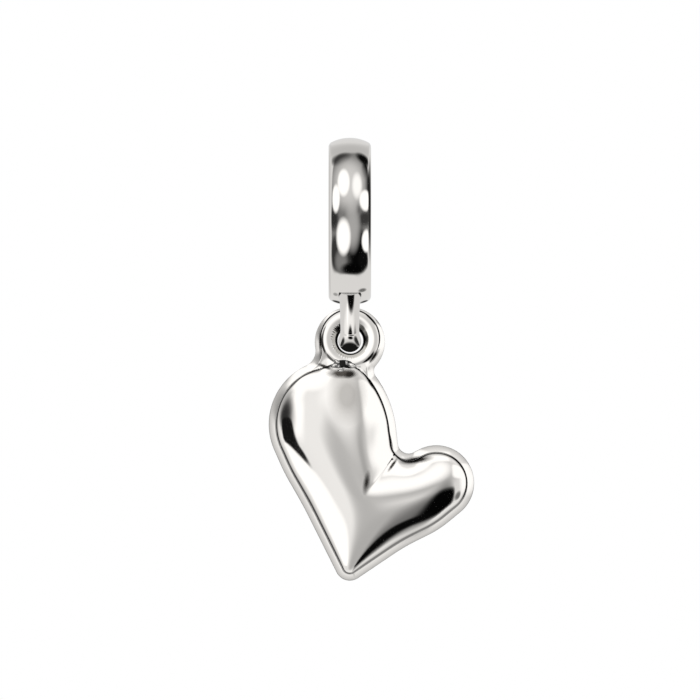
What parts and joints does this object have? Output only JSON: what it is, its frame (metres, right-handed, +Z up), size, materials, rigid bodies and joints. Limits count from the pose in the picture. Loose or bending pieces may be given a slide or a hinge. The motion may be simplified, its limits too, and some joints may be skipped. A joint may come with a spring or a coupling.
{
  "type": "heart charm",
  "caption": "Polished silver bracelet charm: a puffed, lopsided heart hangs by its cast eye from the link soldered under a slide-on carrier ring.",
  "frame": {"origin": "middle of the carrier ring's opening, where the charm hangs on a bracelet", "axes": "+Z up, +X along the carrier ring's opening to the right of a front view, -Y out of the heart's domed front"},
  "size_m": [0.0111, 0.009, 0.0241],
  "materials": {
    "silver_carrier": "polished sterling silver",
    "silver_heart": "polished sterling silver"
  },
  "bodies": {
    "carrier_body": {"carrier": "silver_carrier"},
    "heart_body": {"heart": "silver_heart"}
  },
  "joints": [
    {"name": "heart_swing", "type": "hinge", "parent": "carrier_body", "child": "heart_body", "pos_m": [0.00003, 0, -0.00647], "axis": [0, 1, 0], "range_deg": [-60, 60]}
  ]
}
